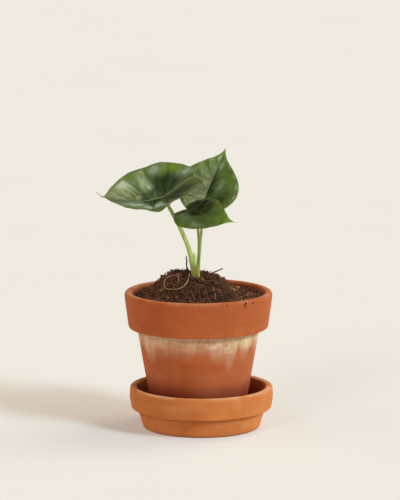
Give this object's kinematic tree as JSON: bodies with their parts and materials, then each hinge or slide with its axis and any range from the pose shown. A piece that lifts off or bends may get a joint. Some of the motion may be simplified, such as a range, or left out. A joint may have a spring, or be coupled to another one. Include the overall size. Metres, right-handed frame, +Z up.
{
  "type": "potted alocasia plant",
  "caption": "Young alocasia reversa with folded silver-green leaves on upright stalks, in a tapered terracotta pot with a rim band, standing on a banded saucer.",
  "frame": {"origin": "centre of the saucer's flat underside, on the surface that the object stands on", "axes": "+Z up, -Y towards the front, +X to the right seen from the front"},
  "size_m": [0.1563, 0.1308, 0.2402],
  "materials": {
    "saucer_clay": "unglazed orange terracotta, matte",
    "pot_clay": "unglazed terracotta, matte, with pale mineral bloom under the rim",
    "soil": "damp dark brown potting mix with bark crumbs",
    "leaf": "leathery silver-green blade with dark bands along the veins, satin gloss",
    "stalk": "smooth pale green stalk, satin",
    "dead_root": "dry dark brown root",
    "pale_root": "thin pale dry root"
  },
  "bodies": {
    "root": {"saucer": "saucer_clay", "pot": "pot_clay", "soil": "soil", "blade_left": "leaf", "blade_back": "leaf", "blade_front": "leaf", "petiole_left": "stalk", "petiole_back": "stalk", "petiole_front": "stalk", "root_upright": "dead_root", "root_twig": "dead_root", "root_right": "dead_root", "root_pale": "pale_root"}
  },
  "joints": []
}
